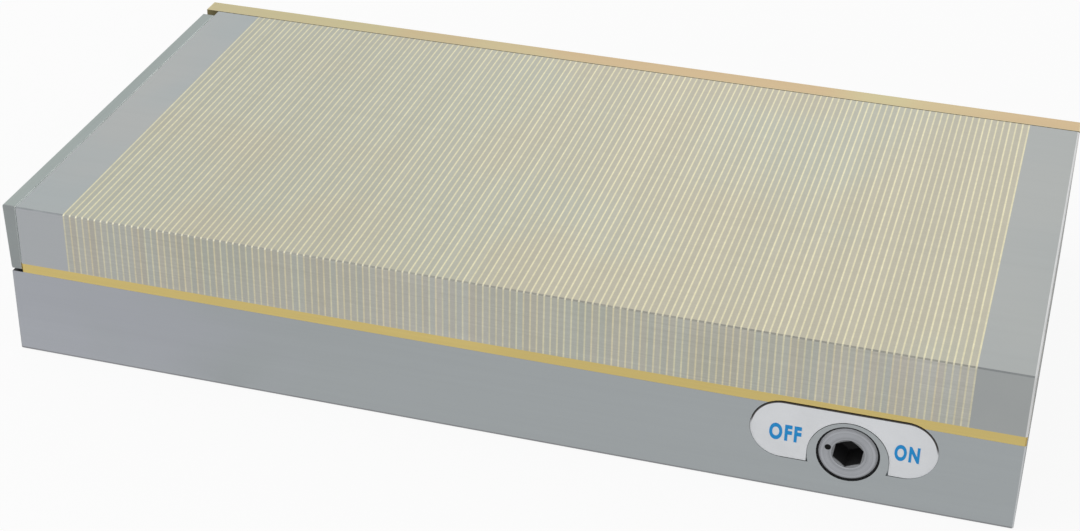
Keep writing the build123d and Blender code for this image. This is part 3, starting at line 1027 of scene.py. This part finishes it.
@dataclass
class SocketScrew:
    """Hex socket screw with a rounded head, a chamfered mouth and a ridged shank."""

    HEX = 6

    node: str
    facing: Facing
    thread: float
    pitch: float
    head: float
    head_height: float
    key: float
    length: float
    ribbed: bool = False
    mouth: float = 0.25 * MM
    rounding: float = 0.4 * MM
    rounding_angles: tuple[float, ...] = (22.5, 45.0, 67.5, 90.0)
    seat_share: float = 0.3
    socket_share: float = 0.6
    cone_share: float = 0.12
    plain_share: float = 0.3
    ridge_share: float = 0.12
    rib_low: float = 0.2
    rib_high: float = 0.97
    rib_reach: float = 0.99
    rib_press: float = 0.975
    points: int = 48

    def model(self) -> bpy.types.Object:
        """Models one screw along Z, its head above the origin.

        Returns:
            The finished screw.
        """
        model = Modeller(f"{self.node}_1")
        self.model_socket(model)
        self.model_head(model)
        self.model_shank(model)
        if self.ribbed:
            self.model_ribs(model)
        return model.done()

    def model_socket(self, model: Modeller) -> None:
        """Grows the hex socket up to its chamfered mouth, and closes its floor by a drilled cone.

        Args:
            model: the mesh that is grown.
        """
        corner = self.key / math.sqrt(3)
        floor = self.head_height * (1 - self.socket_share)
        model.loop(self.HEX, corner, floor, self.points // self.HEX - 1)
        model.cap(self.cone_share * self.key)
        model.pick_level(floor)
        model.radius, model.level = corner, floor
        model.follow((corner, self.head_height - self.mouth), (corner + self.mouth, self.head_height))

    def model_head(self, model: Modeller) -> None:
        """Grows the head from its flat top round to its seat.

        Args:
            model: the mesh that is grown.
        """
        outer, top, edge = self.head / 2, self.head_height, self.rounding
        rim = outer - edge
        model.loop(self.points, rim, top)
        model.join_loops(rim, top)
        arc = [math.radians(angle) for angle in self.rounding_angles]
        model.follow(*((rim + edge * math.sin(a), top - edge * (1 - math.cos(a))) for a in arc))
        seat = self.seat_share * edge
        model.follow((outer, seat), (outer - seat, 0.0))

    def model_shank(self, model: Modeller) -> None:
        """Grows the shank: a plain neck, then ridges that stand for the thread, and a chamfered tip.

        Args:
            model: the mesh that is grown.
        """
        outer = self.thread / 2
        root = outer - self.ridge_share * self.thread
        level = -self.plain_share * self.length
        model.follow((outer, 0.0), (outer, level))
        while level - 2 * self.pitch > -self.length:
            model.follow((root, level - 0.5 * self.pitch), (outer, level - self.pitch))
            level -= self.pitch
        model.follow((outer, -self.length + 0.5 * self.pitch), (root, -self.length))
        model.cap()

    def model_ribs(self, model: Modeller) -> None:
        """Presses every second row of points on the head's side inwards.

        Args:
            model: the mesh that is grown.
        """
        step = 2 * math.pi / self.points
        low, high = self.rib_low * self.head_height, self.rib_high * self.head_height
        side = self.rib_reach * self.head / 2
        model.pick(
            lambda point: low < point.z < high
            and point.xy.length > side
            and round(math.atan2(point.y, point.x) / step) % 2 == 0
        )
        press = self.rib_press
        bpy.ops.transform.resize(value=(press, press, 1), center_override=(0, 0, 0))

    def places(self) -> list[Vector]:
        """Places of the screws' seats, from the corners of the node's box.

        Returns:
            One place for each screw.
        """
        low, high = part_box(self.node)
        reach = self.head / 2
        ends = [sorted({round(low[i] + reach, 6), round(high[i] - reach, 6)}) for i in range(3)]
        match self.facing:
            case Facing.DOWN:
                ends[2] = [low.z + self.head_height]
            case Facing.LEFT:
                ends[0] = [low.x + self.head_height]
            case Facing.BACK:
                ends[1] = [high.y - self.head_height]
        return [Vector((x, y, z)) for x in ends[0] for y in ends[1] for z in ends[2]]

    def build(self) -> None:
        """Models one screw, copies it to every place and lets the copies stand for the node."""
        places = self.places()
        first = self.model()
        screws = [first] + [copied(first, f"{self.node}_{i + 2}") for i in range(len(places) - 1)]
        for screw, place in zip(screws, places):
            settle(screw, place, self.facing.turn())
            paint(screw, SCREW_OXIDE)
            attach(screw, "chuck_base")
            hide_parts(self.node)


@dataclass
class PolePlate(Assembly):
    """Laminated plate with its end blocks and screws, and the brass plate under it."""

    LOOKS = {
        "pole_lamellae": LAMELLA_STEEL,
        "brass_strips": STRIP_BRASS,
        "end_block_left": LEFT_BLOCK_STEEL,
        "end_block_right": RIGHT_BLOCK_STEEL,
        "separator_plate": PLATE_BRASS,
        "main_pole_bars": SOFT_IRON,
        "locating_dowels": DOWEL_STEEL,
    }
    screws: SocketScrew = field(default_factory=lambda: SocketScrew(
        "pole_plate_screws", Facing.DOWN, thread=6 * MM, pitch=1 * MM,
        head=10 * MM, head_height=6 * MM, key=5 * MM, length=35 * MM, ribbed=True,
    ))

    def build(self) -> None:
        """Models the cap screws under the base."""
        self.screws.build()


@dataclass
class Base(Assembly):
    """Ground base block with its seal and the shaft's fixed fittings."""

    LOOKS = {
        "base_body": BASE_STEEL,
        "rim_seal": SEAL_RUBBER,
        "shaft_bush": BUSH_BRONZE,
        "shaft_stop_screw": SCREW_OXIDE,
    }
    ring_width: float = 0.66 * MM
    lip: float = 0.3 * MM
    lip_share: float = 0.3
    smooth_angle: float = 60.0
    sides: int = 96

    def build(self) -> None:
        """Models the rubber ring round the shaft's head, with a rounded lip."""
        low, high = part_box("shaft_seal")
        outer = (high.x - low.x) / 2
        inner = outer - self.ring_width
        depth = high.y - low.y
        middle = (outer + inner) / 2
        bevel = self.lip_share * self.lip
        model = Modeller("seal_ring")
        model.loop(self.sides, outer, 0.0)
        model.follow(
            (outer, depth - self.lip),
            (outer - bevel, depth - bevel),
            (middle, depth),
            (inner + bevel, depth - bevel),
            (inner, depth - self.lip),
            (inner, 0.0),
            (outer, 0.0),
        )
        ring = model.done(self.smooth_angle)
        settle(ring, Vector((SWITCH_AXIS.x, high.y, SWITCH_AXIS.z)), Facing.FRONT.turn())
        paint(ring, SEAL_RUBBER)
        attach(ring, "chuck_base")
        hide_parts("shaft_seal")


@dataclass
class Stops(Assembly):
    """End stop and back rail with their screws."""

    LOOKS = {
        "end_stop_plate": STOP_STEEL,
        "back_rail": RAIL_BRASS,
    }
    end_screws: SocketScrew = field(default_factory=lambda: SocketScrew(
        "end_stop_screws", Facing.LEFT, thread=4 * MM, pitch=0.7 * MM,
        head=8 * MM, head_height=1.5 * MM, key=2.5 * MM, length=10.5 * MM,
    ))
    rail_screws: SocketScrew = field(default_factory=lambda: SocketScrew(
        "back_rail_screws", Facing.BACK, thread=5 * MM, pitch=0.8 * MM,
        head=8.5 * MM, head_height=3.5 * MM, key=3 * MM, length=13.3 * MM,
    ))

    def build(self) -> None:
        """Models the low-head screws of both stops."""
        self.end_screws.build()
        self.rail_screws.build()


@dataclass
class MagnetPack(Assembly):
    """Sliding magnet pack inside the base."""

    LOOKS = {
        "pack_front_rail": RAIL_ALLOY,
        "pack_rear_rail": RAIL_ALLOY,
        "flux_bars": SOFT_IRON,
        "magnets": MAGNET_SKIN,
    }


@dataclass
class Switch(Assembly):
    """Shaft with its roller and the paint in its index dimple."""

    LOOKS = {
        "switch_shaft": SHAFT_STEEL,
        "eccentric_roller": ROLLER_STEEL,
    }
    dot_radius: float = 0.84 * MM
    dot_sink: float = 0.2 * MM
    dot_depth: float = 0.5 * MM
    dot_hollow: float = 0.1 * MM
    dot_profile: tuple[tuple[float, float], ...] = ((1.0, 0.0), (0.8, 0.5), (0.4, 1.0))
    sides: int = 32

    def build(self) -> None:
        """Models the paint that fills the index dimple, a little hollow in the middle."""
        model = Modeller("index_dot")
        rim, face, hollow = self.dot_radius, -self.dot_sink, self.dot_hollow
        model.loop(self.sides, rim, -self.dot_depth)
        bpy.ops.mesh.edge_face_add()
        model.follow(*((out * rim, face - deep * hollow) for out, deep in self.dot_profile))
        dot = model.done()
        settle(dot, SWITCH_AXIS + INDEX_DIMPLE, Facing.FRONT.turn())
        paint(dot, DOT_PAINT)
        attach(dot, "switch")


@dataclass(frozen=True)
class Word:
    """One word on the label, sized by the box round its letters."""

    text: str
    left: float
    right: float
    low: float
    high: float


@dataclass
class Label(Assembly):
    """White switch label with its two words."""

    LOOKS = {"switch_label": LABEL_PAINT}
    words: tuple[Word, ...] = (
        Word("OFF", left=82.2 * MM, right=91.3 * MM, low=15.9 * MM, high=21.4 * MM),
        Word("ON", left=117.35 * MM, right=124.3 * MM, low=16.0 * MM, high=21.35 * MM),
    )
    thickness: float = 0.06 * MM
    fattening: float = 0.045
    spacing: float = 1.25
    raw_thickness: float = 1.0

    def build(self) -> None:
        """Models both words as raised print on the label's face."""
        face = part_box("switch_label")[0].y
        for word in self.words:
            letters = self.letters(word, face)
            paint(letters, LETTER_PAINT)
            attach(letters, "chuck_base")

    def letters(self, word: Word, face: float) -> bpy.types.Object:
        """Models one word.

        Args:
            word: its letters and the box round them.
            face: where the label's face lies, from front to back.

        Returns:
            The word as a mesh in its place.
        """
        bpy.ops.object.select_all(action="DESELECT")
        bpy.ops.object.text_add()
        piece = bpy.context.object
        piece.name = f"letters_{word.text.lower()}"
        piece.data.body = word.text
        piece.data.offset = self.fattening
        piece.data.space_character = self.spacing
        piece.data.extrude = self.raw_thickness / 2
        bpy.ops.object.convert(target="MESH")
        low, high = mesh_box(piece)
        size = high - low
        wide, tall = word.right - word.left, word.high - word.low
        piece.scale = (wide / size.x, tall / size.y, self.thickness / size.z)
        piece.location = (-low.x * piece.scale.x, -low.y * piece.scale.y, self.thickness / 2)
        bpy.ops.object.transform_apply(location=True, rotation=True, scale=True)
        settle(piece, Vector((word.left, face, word.low)), Facing.FRONT.turn())
        return piece


@dataclass(frozen=True)
class Lamp:
    """Square lamp that faces the object, with its size in metres and its power in watts."""

    name: str
    place: tuple[float, float, float]
    size: float
    power: float

    def build(self) -> None:
        """Makes the lamp and turns it to the object."""
        data = bpy.data.lights.new(self.name, "AREA")
        data.size = self.size
        data.energy = self.power
        lamp = bpy.data.objects.new(self.name, data)
        lamp.location = self.place
        lamp.rotation_euler = (-Vector(self.place)).to_track_quat("-Z", "Y").to_euler()
        bpy.context.scene.collection.objects.link(lamp)


@dataclass
class Studio:
    """White floor, soft light and the camera of the photograph."""

    lamps: tuple[Lamp, ...] = (
        Lamp("key_lamp", (-1.5, -0.6, 0.9), size=1.9, power=12.0),
        Lamp("fill_lamp", (0.3, -1.5, 0.5), size=1.0, power=3.0),
        Lamp("back_lamp", (-0.05, 1.3, 0.75), size=0.8, power=0.5),
    )
    camera_place: tuple[float, float, float] = (0.15537, -0.5773, 0.36674)
    camera_turn: tuple[float, float, float] = (59.365, -0.953, 16.314)
    lens: float = 72.39
    sensor: float = 36.0
    floor_size: float = 8.0
    floor_level: float = -0.1 * MM
    floor_colour: Colour = (0.9, 0.9, 0.9)
    floor_roughness: float = 0.9
    floor_glow: float = 0.9
    sky: float = 0.62

    def build(self) -> None:
        """Makes floor, world, lamps and camera."""
        self.build_floor()
        self.build_world()
        for lamp in self.lamps:
            lamp.build()
        self.build_camera()
        bpy.context.scene.view_settings.view_transform = "Standard"

    def seen_ray(self, graph: Graph) -> Field:
        """Tells rays that show the background, straight or in metal and glass, from others.

        Args:
            graph: node tree of the floor or the world.

        Returns:
            1 for such rays, 0 for others.
        """
        node = graph.node("ShaderNodeLightPath", {}, {}).socket.node
        names = ("Is Camera Ray", "Is Glossy Ray", "Is Transmission Ray")
        return reduce(Field.greater, (Field(graph, node.outputs[name]) for name in names))

    def build_floor(self) -> None:
        """Makes a pale floor that keeps the object's shadow and hides nothing from below."""
        bpy.ops.object.select_all(action="DESELECT")
        bpy.ops.mesh.primitive_plane_add(size=self.floor_size, location=(0, 0, self.floor_level))
        floor = bpy.context.object
        floor.name = "floor"
        material = bpy.data.materials.new("floor_white")
        material.use_nodes = True
        graph = Graph(material.node_tree)
        rough = self.floor_roughness
        graph.surface(Base_Color=self.floor_colour, Roughness=rough, Specular_IOR_Level=0.0)
        glow = graph.node("ShaderNodeEmission", {}, {"Color": WHITE, "Strength": 1.0})
        lit = Field(graph, graph.shader.outputs[0])
        share = self.seen_ray(graph) * self.floor_glow
        upper = graph.node("ShaderNodeMixShader", {}, {0: share, 1: lit, 2: glow})
        lower = graph.node("ShaderNodeBsdfTransparent", {}, {})
        backing = graph.node("ShaderNodeNewGeometry", {}, {}).socket.node.outputs["Backfacing"]
        shown = graph.node("ShaderNodeMixShader", {}, {0: Field(graph, backing), 1: upper, 2: lower})
        graph.feed(graph.tree.nodes["Material Output"].inputs["Surface"], shown)
        floor.data.materials.append(material)

    def build_world(self) -> None:
        """Makes an even sky that shows as white."""
        world = bpy.data.worlds.new("studio_white")
        world.use_nodes = True
        bpy.context.scene.world = world
        graph = Graph(world.node_tree)
        light = graph.node("ShaderNodeBackground", {}, {"Color": WHITE, "Strength": self.sky})
        white = graph.node("ShaderNodeBackground", {}, {"Color": WHITE, "Strength": 1.0})
        shown = graph.node("ShaderNodeMixShader", {}, {0: self.seen_ray(graph), 1: light, 2: white})
        graph.feed(graph.tree.nodes["World Output"].inputs["Surface"], shown)

    def build_camera(self) -> None:
        """Makes the camera where the photograph was taken from."""
        data = bpy.data.cameras.new("camera")
        data.sensor_fit = "HORIZONTAL"
        data.sensor_width = self.sensor
        data.lens = self.lens
        camera = bpy.data.objects.new("camera", data)
        camera.location = self.camera_place
        camera.rotation_euler = [math.radians(angle) for angle in self.camera_turn]
        bpy.context.scene.collection.objects.link(camera)
        bpy.context.scene.camera = camera


def main() -> None:
    """Builds and dresses every sub-assembly, then the studio."""
    logging.basicConfig(level=logging.INFO, format="%(name)s: %(message)s")
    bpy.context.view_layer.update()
    for assembly in (PolePlate(), Base(), Stops(), MagnetPack(), Switch(), Label()):
        assembly.build()
        assembly.dress()
    Studio().build()


if __name__ == "__main__":
    main()
